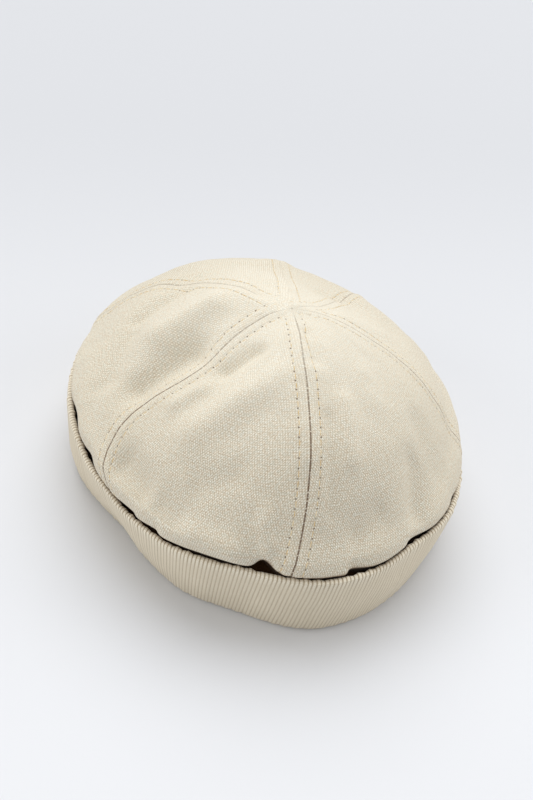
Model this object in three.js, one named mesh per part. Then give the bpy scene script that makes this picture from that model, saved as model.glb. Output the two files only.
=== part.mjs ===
// Sailor cap: a soft round crown of six canvas panels, sewn to a tube of rib knit that is folded
// outwards at the bottom and turned up as a cuff. Millimetres, +Z up, front seam towards -Y.
// The cap stands on the fold of its cuff. The origin is the middle of its outline, on that surface.
import * as THREE from 'three';

// Sizes of the crown
const CROWN_LENGTH = 204; // front to back, across its widest line
const CROWN_WIDTH = 183; // side to side, across its widest line
const CROWN_HEIGHT = 99; // standing surface to the crossing of the seams on top
const BULGE_HEIGHT = 47; // standing surface to the widest line
const HEM_HEIGHT = 33; // standing surface to the seam between crown and knit, inside the cuff
const CANVAS = 1.2; // wall of one layer of canvas
const ALLOWANCE_WIDTH = 6.5; // cloth turned under along each side of a seam
const ALLOWANCE_WALL = 0.9; // how much thicker the wall is there
const TOPSTITCH_OFFSET = 4.4; // seam to the row of stitches beside it
const TOPSTITCH_DEPTH = 0.3; // how far that row is pulled in
const SEAM_GROOVE = 0.7; // depth of the groove along a seam
const SEAM_GROOVE_WIDTH = 1.1; // half the width of that groove
const SEAM_GAP = 0.3; // clearance between two pieces that are sewn together
const PANEL_TIP = 1.7; // how far a panel ends from the crossing on top
const TOP_RIGHT = 2.5; // how far the crossing lies to the right of the middle
const TOP_FRONT = 2; // how far it lies towards the front

// Sizes of the knitted band
const CUFF_HEIGHT = 41.4; // standing surface to the upper edge of the cuff
const CUFF_FLARE = 2; // how far the cuff stands outside the crown's widest line
const KNIT = 2.8; // wall of the doubled knit
const FOLD_GAP = 0.8; // space between the two walls at the bottom fold
const NECK_GAP = 0.4; // space between crown and cuff at the cuff's upper edge
const LEAN_ABOVE = 3; // height above that edge where the crown leans furthest over it
const LEAN_OVER = 7; // how far up from there the lean fades out
const LEAN_UNDER = 2.4; // how far down it does
const HEM_STEP = 2.5; // how far the hem lies further in than that
const FOOT_WIDTH = 2.8; // flat ring that the cap stands on
const CUFF_BELLY = 1.1; // how far the cuff bulges halfway up

// Fineness of the meshes
const PANEL_COLUMNS_BETWEEN = 8;
const PANEL_ROWS_ABOVE = 11;
const PANEL_ROWS_BELOW = 4;
const BAND_COLUMNS = 96;
const EDGE_SHARE = 0.3; // share of a panel's width that each allowance takes near the tip

// The outline round the cap, one row for each section. "at" is the direction in degrees, from the
// front towards the right. crown, top and foot move the crown's widest line, the cuff's upper edge
// and its bottom fold outwards, as shares of the plain oval. puff raises the slope of the crown, as
// a share of its height, and rise the cuff's upper edge, as a share of the cuff's height. lean is
// how far the crown leans over that edge, in walls of knit.
const SECTIONS = [
  { at: -180, crown: -0.013, puff: -0.037, top: 0.005, rise: 0.005, foot: -0.010, lean: 0.7 },
  { at: -150, crown: -0.001, puff: 0.006, top: 0.000, rise: -0.020, foot: 0.000, lean: 0.6 },
  { at: -120, crown: -0.003, puff: 0.014, top: 0.002, rise: -0.025, foot: 0.000, lean: 0.4 },
  { at: -90, crown: -0.011, puff: -0.022, top: -0.008, rise: -0.025, foot: -0.034, lean: 0.3 },
  { at: -60, crown: -0.019, puff: -0.044, top: -0.030, rise: -0.105, foot: -0.160, lean: 0.4 },
  { at: -45, crown: -0.017, puff: -0.023, top: -0.028, rise: -0.110, foot: -0.140, lean: 0.45 },
  { at: -30, crown: -0.013, puff: 0.013, top: -0.016, rise: -0.090, foot: -0.100, lean: 0.5 },
  { at: -14, crown: -0.010, puff: 0.053, top: -0.025, rise: -0.046, foot: -0.090, lean: 0.7 },
  { at: 4, crown: -0.008, puff: 0.079, top: 0.027, rise: -0.030, foot: -0.013, lean: 0.9 },
  { at: 16, crown: -0.007, puff: 0.063, top: 0.031, rise: -0.020, foot: 0.000, lean: 1.2 },
  { at: 30, crown: -0.011, puff: 0.044, top: 0.015, rise: -0.003, foot: -0.007, lean: 1.2 },
  { at: 45, crown: -0.021, puff: 0.033, top: 0.030, rise: -0.012, foot: -0.015, lean: 1.1 },
  { at: 60, crown: -0.037, puff: 0.025, top: 0.010, rise: -0.025, foot: 0.005, lean: 0.9 },
  { at: 90, crown: -0.067, puff: -0.022, top: -0.038, rise: -0.050, foot: -0.034, lean: 0.8 },
  { at: 120, crown: -0.058, puff: -0.068, top: -0.042, rise: -0.030, foot: -0.045, lean: 0.8 },
  { at: 150, crown: -0.033, puff: -0.088, top: -0.010, rise: 0.005, foot: -0.030, lean: 0.7 },
];

// The crown from its middle outwards. out is the share of the way to the widest line, and up the
// share of the height between that line and the top.
const PROFILE = [
  { out: 0, up: 1 },
  { out: 0.25, up: 0.942 },
  { out: 0.5, up: 0.739 },
  { out: 0.7, up: 0.556 },
  { out: 0.85, up: 0.329 },
  { out: 0.95, up: 0.117 },
  { out: 1, up: 0 },
];

// The six seams. strays is how far a seam runs beside its even direction, in degrees, at each of
// the ways down from the top: 0 on top, 1 at the widest line and 2 at the hem.
const SEAM_WAYS = [0, 0.05, 0.15, 0.3, 0.6, 1, 2];
const SEAMS = [
  { at: 0, strays: [3, 1, -2, -0.8, -1.2, -3.2, -3.5] },
  { at: 60, strays: [20, 20, 16, 14.5, 8.5, 8.5, 7] },
  { at: 120, strays: [-12, -10, 3, 14.5, 16, 8, 3] },
  { at: 180, strays: [-9, -9, -9, -9, -9, -9, -9] },
  { at: 240, strays: [-12, -12, -12.5, -14.5, -9.5, -4, -2] },
  { at: 300, strays: [-20, -20, -11, -3.5, -5.8, 0.5, 6] },
];

// Each panel lies between the seam of the same row and the next one.
const PANELS = ['front_right', 'right', 'back_right', 'back_left', 'left', 'front_left'];

// Creases of the crown, seen from above: a line from (x0, y0) to (x1, y1), its breadth and its
// height, all as shares of the crown's mean radius. A dent has a height below zero.
const CREASES = [
  { x0: -0.34, y0: 0.10, x1: -0.48, y1: 0.08, breadth: 0.085, height: 0.045 },
  { x0: -0.43, y0: -0.12, x1: -0.58, y1: -0.16, breadth: 0.075, height: -0.055 },
  { x0: -0.50, y0: 0.30, x1: -0.60, y1: 0.22, breadth: 0.050, height: -0.028 },
  { x0: -0.68, y0: 0.12, x1: -0.78, y1: -0.08, breadth: 0.050, height: -0.022 },
  { x0: -0.86, y0: 0.16, x1: -0.89, y1: -0.10, breadth: 0.050, height: 0.018 },
  { x0: -0.17, y0: -0.24, x1: -0.29, y1: -0.29, breadth: 0.045, height: -0.042 },
  { x0: -0.40, y0: -0.35, x1: -0.50, y1: -0.38, breadth: 0.045, height: 0.028 },
  { x0: -0.44, y0: -0.54, x1: -0.30, y1: -0.50, breadth: 0.085, height: 0.040 },
  { x0: -0.20, y0: -0.46, x1: -0.10, y1: -0.44, breadth: 0.080, height: 0.036 },
  { x0: -0.06, y0: -0.54, x1: -0.02, y1: -0.76, breadth: 0.060, height: 0.018 },
  { x0: -0.74, y0: -0.52, x1: -0.68, y1: -0.66, breadth: 0.060, height: -0.042 },
  { x0: -0.60, y0: -0.76, x1: -0.56, y1: -0.82, breadth: 0.055, height: -0.030 },
  { x0: 0.06, y0: -0.20, x1: 0.07, y1: -0.36, breadth: 0.045, height: -0.028 },
  { x0: 0.18, y0: -0.54, x1: 0.19, y1: -0.76, breadth: 0.045, height: 0.020 },
  { x0: 0.30, y0: -0.38, x1: 0.34, y1: -0.50, breadth: 0.070, height: 0.012 },
  { x0: 0.28, y0: 0.00, x1: 0.48, y1: 0.00, breadth: 0.060, height: 0.018 },
  { x0: -0.08, y0: 0.12, x1: -0.03, y1: 0.20, breadth: 0.070, height: -0.020 },
  { x0: -0.36, y0: 0.42, x1: -0.44, y1: 0.40, breadth: 0.060, height: -0.020 },
  { x0: 0.27, y0: 0.38, x1: 0.36, y1: 0.37, breadth: 0.060, height: -0.020 },
  { x0: -0.18, y0: 0.34, x1: -0.10, y1: 0.44, breadth: 0.060, height: 0.010 },
  { x0: 0.52, y0: -0.70, x1: 0.53, y1: -0.84, breadth: 0.060, height: -0.028 },
  { x0: 0.56, y0: -0.52, x1: 0.60, y1: -0.60, breadth: 0.060, height: -0.012 },
  { x0: -0.18, y0: -0.93, x1: -0.16, y1: -0.98, breadth: 0.040, height: 0.030 },
  { x0: 0.22, y0: -0.96, x1: 0.31, y1: -0.90, breadth: 0.055, height: -0.024 },
  { x0: -0.48, y0: -0.91, x1: -0.32, y1: -0.99, breadth: 0.050, height: 0.024 },
  { x0: -0.30, y0: -0.78, x1: -0.44, y1: -0.76, breadth: 0.060, height: -0.018 },
  { x0: 0.64, y0: 0.60, x1: 0.78, y1: 0.50, breadth: 0.070, height: -0.028 },
  { x0: 0.60, y0: 0.14, x1: 0.63, y1: 0.24, breadth: 0.060, height: -0.016 },
  { x0: 0.48, y0: 0.36, x1: 0.50, y1: 0.46, breadth: 0.055, height: 0.018 },
  { x0: -0.10, y0: 0.58, x1: 0.14, y1: 0.72, breadth: 0.070, height: 0.014 },
  { x0: -0.45, y0: 0.70, x1: -0.38, y1: 0.56, breadth: 0.050, height: -0.014 },
];

// Tucks where the cuff grips the crown. before and after are their breadths in degrees on both
// sides, and depth is a share of the crown's mean radius.
const TUCKS = [
  { at: -152, before: 6, after: 3, depth: 0.020 },
  { at: -118, before: 3, after: 7, depth: 0.018 },
  { at: -92, before: 4, after: 4, depth: 0.016 },
  { at: -68, before: 4, after: 3, depth: 0.018 },
  { at: -46, before: 6, after: 3, depth: 0.024 },
  { at: -38, before: 5, after: 3, depth: 0.026 },
  { at: -10, before: 3, after: 3, depth: 0.050 },
  { at: 10.5, before: 3, after: 6, depth: 0.024 },
  { at: 28, before: 3, after: 6, depth: 0.020 },
  { at: 49, before: 3, after: 4, depth: 0.012 },
  { at: 70, before: 5, after: 3, depth: 0.016 },
  { at: 101, before: 3, after: 8, depth: 0.020 },
  { at: 138, before: 6, after: 3, depth: 0.018 },
  { at: 171, before: 4, after: 7, depth: 0.018 },
];
const TUCK_SLOPE = 0.45; // how deep a tuck still is on the slope above the cuff
const SLOPE_BREADTH = 5; // and how broad, in degrees

const HALF_LENGTH = CROWN_LENGTH / 2;
const HALF_WIDTH = CROWN_WIDTH / 2;
const MEAN_RADIUS = (HALF_LENGTH + HALF_WIDTH) / 2;
const { degToRad, smoothstep, lerp } = THREE.MathUtils;

// Shares of the way down a seam where a form starts or ends
const TUCK_START = 0.86;
const TUCK_END = 1.85;
const SLOPE_START = 0.55;
const SLOPE_FULL = 0.95;
const SLOPE_END = 1.5;
const PUFF_START = 0.2;

// Powers that round a curve
const ROUNDING = 1.5; // from the plain oval to the outline of the widest line
const NECK_ROUNDING = 1.6; // in under the widest line
const STEEPEST = 1.6; // how much steeper the profile ends than its last points
const ROW_SPREAD = 1.15; // rows of a panel, closer together on top

// Smooth curve through the points of a table, with its slopes taken between the neighbours.
function hermite(x0, y0, m0, x1, y1, m1, x) {
  const h = x1 - x0;
  const t = (x - x0) / h;
  const rise = t * t * (3 - 2 * t);
  return y0 * (1 - rise) + y1 * rise + h * t * (1 - t) * (m0 * (1 - t) - m1 * t);
}

function slope(a, b, key, column) {
  return (b[column] - a[column]) / (b[key] - a[key]);
}

// Value of a column of SECTIONS in any direction.
function around(column, direction) {
  const first = SECTIONS[0].at;
  const at = THREE.MathUtils.euclideanModulo(direction - first, 360) + first;
  const row = (i) => {
    const turns = Math.floor(i / SECTIONS.length);
    const section = SECTIONS[i - turns * SECTIONS.length];
    return { at: section.at + 360 * turns, [column]: section[column] };
  };
  let i = 0;
  while (row(i + 1).at <= at) i += 1;
  const [before, a, b, after] = [row(i - 1), row(i), row(i + 1), row(i + 2)];
  const m0 = slope(before, b, 'at', column);
  const m1 = slope(a, after, 'at', column);
  return hermite(a.at, a[column], m0, b.at, b[column], m1, at);
}

// Share of the crown's height at a share of the way out. The top is level.
function profileUp(out) {
  const last = PROFILE.length - 1;
  let i = 0;
  while (i < last - 1 && PROFILE[i + 1].out <= out) i += 1;
  const [a, b] = [PROFILE[i], PROFILE[i + 1]];
  const m0 = i > 0 ? slope(PROFILE[i - 1], b, 'out', 'up') : 0;
  const steep = STEEPEST * slope(a, b, 'out', 'up');
  const m1 = i + 1 < last ? slope(a, PROFILE[i + 2], 'out', 'up') : steep;
  return hermite(a.out, a.up, m0, b.out, b.up, m1, out);
}

function oval(direction) {
  const angle = degToRad(direction);
  return 1 / Math.hypot(Math.cos(angle) / HALF_LENGTH, Math.sin(angle) / HALF_WIDTH);
}

function polar(radius, direction, height) {
  const angle = degToRad(direction);
  return new THREE.Vector3(radius * Math.sin(angle), -radius * Math.cos(angle), height);
}

const widestRadius = (at) => oval(at) * (1 + around('crown', at));
const cuffRadius = (at) => oval(at) * (1 + around('top', at)) + CUFF_FLARE;
const footRadius = (at) => oval(at) * (1 + around('foot', at));
const cuffTop = (at) => CUFF_HEIGHT * (1 + around('rise', at));
const neckRadius = (at) => cuffRadius(at) - KNIT - NECK_GAP;
const hemRadius = (at) => neckRadius(at) - HEM_STEP;

const hump = (distance, breadth) => Math.exp(-((distance / breadth) ** 2));
const fade = (x, low, high) => 1 - smoothstep(x, low, high);

// How deep the tucks pull the crown in, sharply at the cuff and softly on the slope above it.
function tuckDepth(at, way) {
  const neck = 1 + (BULGE_HEIGHT - cuffTop(at)) / (BULGE_HEIGHT - HEM_HEIGHT);
  const atCuff = smoothstep(way, TUCK_START, neck) * fade(way, TUCK_END, 2);
  const onSlope = TUCK_SLOPE * smoothstep(way, SLOPE_START, SLOPE_FULL) * fade(way, 1, SLOPE_END);
  let [sharp, soft] = [0, 0];
  for (const tuck of TUCKS) {
    const off = THREE.MathUtils.euclideanModulo(at - tuck.at + 180, 360) - 180;
    sharp += tuck.depth * hump(off, off < 0 ? tuck.before : tuck.after);
    soft += tuck.depth * hump(off, SLOPE_BREADTH);
  }
  return MEAN_RADIUS * (sharp * atCuff + soft * onSlope);
}

// Radius and height of the crown above its widest line, before tucks and creases.
function upperCrown(at, way) {
  const out = Math.sin((way * Math.PI) / 2);
  const radius = out * lerp(oval(at), widestRadius(at), out ** ROUNDING);
  const slopePart = 4 * out * (1 - out) * smoothstep(out, 0, PUFF_START);
  const puff = around('puff', at) * CROWN_HEIGHT * slopePart;
  return [radius, lerp(BULGE_HEIGHT, CROWN_HEIGHT, profileUp(out)) + puff];
}

// The same below the widest line, in to the cuff's upper edge and on to the hem.
function lowerCrown(at, way) {
  const under = way - 1;
  const neck = (BULGE_HEIGHT - cuffTop(at)) / (BULGE_HEIGHT - HEM_HEIGHT);
  const radius = under < neck
    ? lerp(widestRadius(at), neckRadius(at), (under / neck) ** NECK_ROUNDING)
    : lerp(neckRadius(at), hemRadius(at), (under - neck) / (1 - neck));
  return [radius, lerp(BULGE_HEIGHT, HEM_HEIGHT, under)];
}

// The crown's outer face without creases. way is 0 on top, 1 at the widest line, 2 at the hem.
function crownBase(at, way) {
  const [radius, height] = way <= 1 ? upperCrown(at, way) : lowerCrown(at, way);
  const past = height - cuffTop(at) - LEAN_ABOVE;
  const lean = KNIT * around('lean', at) * hump(past, past > 0 ? LEAN_OVER : LEAN_UNDER);
  const point = polar(radius + lean - tuckDepth(at, way), at, height);
  const lift = Math.max(0, (height - CUFF_HEIGHT) / (CROWN_HEIGHT - CUFF_HEIGHT));
  return point.add(new THREE.Vector3(TOP_RIGHT * lift, -TOP_FRONT * lift, 0));
}

function crownNormal(at, way) {
  const [turn, step] = [0.5, 0.01];
  const across = crownBase(at + turn, way).sub(crownBase(at - turn, way));
  const low = Math.min(way + step, 2);
  const down = crownBase(at, low).sub(crownBase(at, way - step));
  return down.cross(across).normalize();
}

function creaseHeight(point) {
  const spot = new THREE.Vector3(point.x / MEAN_RADIUS, point.y / MEAN_RADIUS, 0);
  const nearest = new THREE.Vector3();
  let height = 0;
  for (const crease of CREASES) {
    const start = new THREE.Vector3(crease.x0, crease.y0, 0);
    const end = new THREE.Vector3(crease.x1, crease.y1, 0);
    new THREE.Line3(start, end).closestPointToPoint(spot, true, nearest);
    const off = spot.distanceTo(nearest) / crease.breadth;
    height += crease.height * MEAN_RADIUS * Math.exp(-off * off);
  }
  return height;
}

// A point of the crown, a given depth below its creased outer face.
function crownPoint(at, way, depth) {
  const base = crownBase(at, way);
  const lift = creaseHeight(base) * (1 - smoothstep(way, 0.8, 1.2));
  return base.addScaledVector(crownNormal(at, way), lift - depth);
}

function seamAt(seam, way) {
  const last = SEAM_WAYS.length - 1;
  let i = 0;
  while (i < last - 1 && SEAM_WAYS[i + 1] <= way) i += 1;
  const point = (k) => ({ way: SEAM_WAYS[k], stray: seam.strays[k] });
  const m0 = i > 0 ? slope(point(i - 1), point(i + 1), 'way', 'stray') : 0;
  const m1 = i + 1 < last ? slope(point(i), point(i + 2), 'way', 'stray') : 0;
  const [a, b] = [point(i), point(i + 1)];
  return seam.at + hermite(a.way, a.stray, m0, b.way, b.stray, m1, way);
}

// A closed wall from two equal grids of points, the outer face and the inner one.
function wall(columns, rows, outer, inner) {
  const points = [];
  for (const face of [outer, inner]) {
    for (let j = 0; j <= rows; j += 1) {
      for (let i = 0; i <= columns; i += 1) points.push(face(i, j));
    }
  }
  const width = columns + 1;
  const back = width * (rows + 1);
  const index = [];
  const quad = (a, b, c, d) => index.push(a, b, c, a, c, d);
  for (let j = 0; j < rows; j += 1) {
    for (let i = 0; i < columns; i += 1) {
      const a = j * width + i;
      quad(a, a + width, a + width + 1, a + 1);
      quad(back + a, back + a + 1, back + a + width + 1, back + a + width);
    }
    const left = j * width;
    const right = left + columns;
    quad(left + width, left, back + left, back + left + width);
    quad(right + width, back + right + width, back + right, right);
  }
  for (let i = 0; i < columns; i += 1) {
    const low = rows * width + i;
    quad(i, i + 1, back + i + 1, back + i);
    quad(low + 1, low, back + low, back + low + 1);
  }
  return closedGeometry(points, index);
}

// A closed ring from a closed section that is swept round the cap.
function ring(columns, section) {
  const points = [];
  for (let i = 0; i < columns; i += 1) points.push(...section((360 * i) / columns));
  const count = points.length / columns;
  const index = [];
  for (let i = 0; i < columns; i += 1) {
    const next = (i + 1) % columns;
    for (let k = 0; k < count; k += 1) {
      const [a, b] = [i * count + k, i * count + ((k + 1) % count)];
      const [c, d] = [next * count + ((k + 1) % count), next * count + k];
      index.push(a, c, b, a, d, c);
    }
  }
  return closedGeometry(points, index);
}

function closedGeometry(points, index) {
  const geometry = new THREE.BufferGeometry().setFromPoints(points);
  geometry.setIndex(index);
  geometry.computeVertexNormals();
  return geometry;
}

// How far the outer face lies in beside a seam: a groove, then the row of stitches.
function seamRelief(distance) {
  const groove = SEAM_GROOVE * Math.exp(-((distance / SEAM_GROOVE_WIDTH) ** 2));
  const row = (distance - TOPSTITCH_OFFSET) / SEAM_GROOVE_WIDTH;
  return groove + TOPSTITCH_DEPTH * Math.exp(-row * row);
}

// One canvas panel between two seams, with its turned-under allowances.
function panelGeometry(seamA, seamB) {
  const edge = [0, SEAM_GROOVE_WIDTH * 1.5, TOPSTITCH_OFFSET, ALLOWANCE_WIDTH];
  const columns = 2 * (edge.length - 1) + PANEL_COLUMNS_BETWEEN;
  const rows = PANEL_ROWS_ABOVE + PANEL_ROWS_BELOW;
  const wayAt = (j) => {
    const tip = (PANEL_TIP / MEAN_RADIUS) * (2 / Math.PI);
    if (j < PANEL_ROWS_ABOVE) return lerp(tip, 1, (j / PANEL_ROWS_ABOVE) ** ROW_SPREAD);
    return 1 + (j - PANEL_ROWS_ABOVE) / PANEL_ROWS_BELOW;
  };
  // Direction and distance to the nearer seam, for one point of the grid.
  const place = (i, way) => {
    const [a, b] = [seamAt(seamA, way), seamAt(seamB, way)];
    const base = crownBase((a + b) / 2, way);
    const width = Math.hypot(base.x, base.y) * degToRad(b - a) - SEAM_GAP;
    const squeeze = Math.min(1, (EDGE_SHARE * width) / ALLOWANCE_WIDTH);
    const fromSide = (k) => {
      if (k < edge.length) return edge[k] * squeeze;
      const inside = (k - edge.length + 1) / PANEL_COLUMNS_BETWEEN;
      return lerp(ALLOWANCE_WIDTH * squeeze, width - ALLOWANCE_WIDTH * squeeze, inside);
    };
    const distance = i <= columns / 2 ? fromSide(i) : width - fromSide(columns - i);
    const at = lerp(a, b, (distance + SEAM_GAP / 2) / (width + SEAM_GAP));
    return { at, distance: Math.min(distance, width - distance) };
  };
  const outer = (i, j) => {
    const { at, distance } = place(i, wayAt(j));
    return crownPoint(at, wayAt(j), seamRelief(distance));
  };
  const inner = (i, j) => {
    const { at, distance } = place(i, wayAt(j));
    const turned = 1 - smoothstep(distance, TOPSTITCH_OFFSET, ALLOWANCE_WIDTH + CANVAS);
    return crownPoint(at, wayAt(j), CANVAS + ALLOWANCE_WALL * turned);
  };
  return wall(columns, rows, outer, inner);
}

// Section of the band in one direction: a U whose outer wall is the cuff and whose inner wall ends
// under the crown's hem. Each point has an inset from the outline and a height.
function bandSection(at) {
  const top = cuffTop(at);
  const folded = 2 * KNIT + FOLD_GAP;
  const foot = (folded - FOOT_WIDTH) / 2;
  const hem = HEM_HEIGHT - SEAM_GAP;
  const cuffSide = (inset, height) => {
    const outline = lerp(footRadius(at), cuffRadius(at), height / top);
    const belly = Math.sin(Math.PI * Math.min(1, height / top));
    return polar(outline + CUFF_BELLY * belly - inset, at, height);
  };
  const innerSide = (inset, height) => {
    const low = footRadius(at) - KNIT - FOLD_GAP;
    return polar(lerp(low, hemRadius(at), height / hem) - inset, at, height);
  };
  const round = KNIT / 2;
  return [
    cuffSide(foot, 0),
    cuffSide(foot * 0.3, foot * 0.45),
    cuffSide(0, foot * 1.4),
    ...[0.35, 0.7].map((share) => cuffSide(0, top * share)),
    cuffSide(0, top - round),
    cuffSide(round * 0.3, top - round * 0.3),
    cuffSide(round, top),
    cuffSide(round * 1.7, top - round * 0.3),
    cuffSide(KNIT, top - round),
    ...[0.7, 0.35].map((share) => cuffSide(KNIT, top * share)),
    cuffSide(KNIT, KNIT),
    innerSide(0, KNIT),
    ...[0.35, 0.7].map((share) => innerSide(0, hem * share)),
    innerSide(0, hem),
    innerSide(KNIT, hem),
    ...[0.7, 0.35].map((share) => innerSide(KNIT, hem * share)),
    innerSide(KNIT, foot * 1.4),
    cuffSide(folded - foot * 0.3, foot * 0.45),
    cuffSide(folded - foot, 0),
  ];
}

function canvas() {
  return new THREE.MeshStandardMaterial({ color: 0xe6decd, roughness: 0.9, metalness: 0 });
}

function ribKnit() {
  return new THREE.MeshStandardMaterial({ color: 0xcfc8b8, roughness: 0.95, metalness: 0 });
}

function addPiece(group, name, geometry, material) {
  const mesh = new THREE.Mesh(geometry, material);
  mesh.name = name;
  group.add(mesh);
}

const cap = new THREE.Group();
PANELS.forEach((side, i) => {
  const next = (i + 1) % SEAMS.length;
  const seamB = { ...SEAMS[next], at: SEAMS[next].at + (next === 0 ? 360 : 0) };
  addPiece(cap, `crown_panel_${side}`, panelGeometry(SEAMS[i], seamB), canvas());
});
addPiece(cap, 'rib_band', ring(BAND_COLUMNS, bandSection), ribKnit());

// The middle of the outline goes to the origin.
const middle = new THREE.Box3().setFromObject(cap).getCenter(new THREE.Vector3());
cap.position.set(-middle.x, -middle.y, 0);
cap.updateMatrixWorld(true);

export default cap;
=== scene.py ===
# %% [markdown]
# # A brimless cap of canvas with a rib-knit cuff
# The real cap is six gores of cotton canvas, sewn together into a soft dome, and one doubled tube
# of rib knit that is turned up on the outside. This lesson dresses a plain frame of the same
# pieces. All lengths are written in millimetres, as a cutter would, and become metres when the
# vertices are placed.

# %% The frame that everything is fitted to
import math

import bpy
import numpy as np
from mathutils import Matrix, Vector


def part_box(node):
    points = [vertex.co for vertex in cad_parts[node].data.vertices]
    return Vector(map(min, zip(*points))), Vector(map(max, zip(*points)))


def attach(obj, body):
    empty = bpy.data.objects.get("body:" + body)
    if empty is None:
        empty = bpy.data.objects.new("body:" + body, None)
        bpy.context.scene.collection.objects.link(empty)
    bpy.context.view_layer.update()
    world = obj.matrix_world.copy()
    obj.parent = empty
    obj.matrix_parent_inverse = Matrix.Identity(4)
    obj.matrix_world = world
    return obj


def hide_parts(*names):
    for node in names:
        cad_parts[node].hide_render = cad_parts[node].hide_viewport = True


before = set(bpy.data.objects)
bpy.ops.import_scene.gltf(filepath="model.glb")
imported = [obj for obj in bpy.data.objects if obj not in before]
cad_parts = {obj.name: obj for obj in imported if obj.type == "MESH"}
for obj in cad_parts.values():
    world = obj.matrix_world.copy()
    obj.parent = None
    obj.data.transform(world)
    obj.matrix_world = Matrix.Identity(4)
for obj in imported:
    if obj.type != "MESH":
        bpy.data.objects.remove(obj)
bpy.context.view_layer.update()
MM = 0.001

# %% [markdown]
# ## The sizes of the cap
# The frame was built from a few sizes and two tables: one of the outline round the cap and one of
# the crown's profile. The fine cloth follows the same values, so each new sheet lies exactly where
# its plain piece lies. Directions are in degrees, from the front towards the right.

# %% Sizes of the crown and of the knitted band
CROWN_LENGTH = 204
CROWN_WIDTH = 183
CROWN_HEIGHT = 99
BULGE_HEIGHT = 47
HEM_HEIGHT = 33
CUFF_HEIGHT = 41.4
CUFF_FLARE = 2
KNIT = 2.8
FOLD_GAP = 0.8
NECK_GAP = 0.4
LEAN_ABOVE = 3
LEAN_OVER = 7
LEAN_UNDER = 2.4
HEM_STEP = 2.5
FOOT_WIDTH = 2.8
SEAM_GAP = 0.3
TOP_SHIFT = (2.5, -2.0)
HALF_LENGTH = CROWN_LENGTH / 2
HALF_WIDTH = CROWN_WIDTH / 2
MEAN_RADIUS = (HALF_LENGTH + HALF_WIDTH) / 2
print("crown in mm:", CROWN_LENGTH, "x", CROWN_WIDTH, "x", CROWN_HEIGHT, "mean radius", MEAN_RADIUS)

# %% The outline round the cap and the profile of the crown
SECTIONS = np.array([
    # at, crown, puff, top, rise, foot, lean
    (-180, -0.013, -0.037, 0.005, 0.005, -0.010, 0.7),
    (-150, -0.001, 0.006, 0.000, -0.020, 0.000, 0.6),
    (-120, -0.003, 0.014, 0.002, -0.025, 0.000, 0.4),
    (-90, -0.011, -0.022, -0.008, -0.025, -0.034, 0.3),
    (-60, -0.019, -0.044, -0.030, -0.105, -0.160, 0.45),
    (-45, -0.017, -0.023, -0.028, -0.110, -0.140, 0.6),
    (-30, -0.013, 0.013, -0.016, -0.090, -0.100, 0.6),
    (-14, -0.010, 0.053, -0.025, -0.046, -0.090, 0.7),
    (4, -0.008, 0.079, 0.027, -0.030, -0.013, 1.2),
    (16, -0.007, 0.063, 0.031, -0.020, 0.000, 1.2),
    (30, -0.011, 0.044, 0.015, -0.003, -0.007, 1.2),
    (45, -0.021, 0.033, 0.030, -0.012, -0.015, 1.2),
    (60, -0.037, 0.025, 0.006, -0.030, 0.003, 1.3),
    (90, -0.064, -0.022, -0.048, -0.065, -0.038, 1.6),
    (120, -0.056, -0.068, -0.047, -0.040, -0.048, 1.1),
    (150, -0.033, -0.088, -0.010, 0.005, -0.030, 0.7),
])
AT, CROWN, PUFF, TOP, RISE, FOOT, LEAN = SECTIONS.T
PROFILE = np.array([
    # out, up
    (0, 1),
    (0.25, 0.942),
    (0.5, 0.739),
    (0.7, 0.556),
    (0.85, 0.329),
    (0.95, 0.117),
    (1, 0),
])
OUT, UP = PROFILE.T
print(len(SECTIONS), "sections round the cap,", len(PROFILE), "points in the profile")

# %% [markdown]
# ## Creases and tucks
# A cap that was packed and worn has broad dents and soft ridges on its crown, and it is pinched
# where the cuff grips it. They could be sculpted by hand, but rows of a table are easier to move
# and to read. Each crease is a line seen from above, with a breadth and a height as shares of the
# crown's mean radius. A dent has a height below zero. A tuck has a direction, a breadth in degrees
# before and after it, and a depth.

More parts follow.
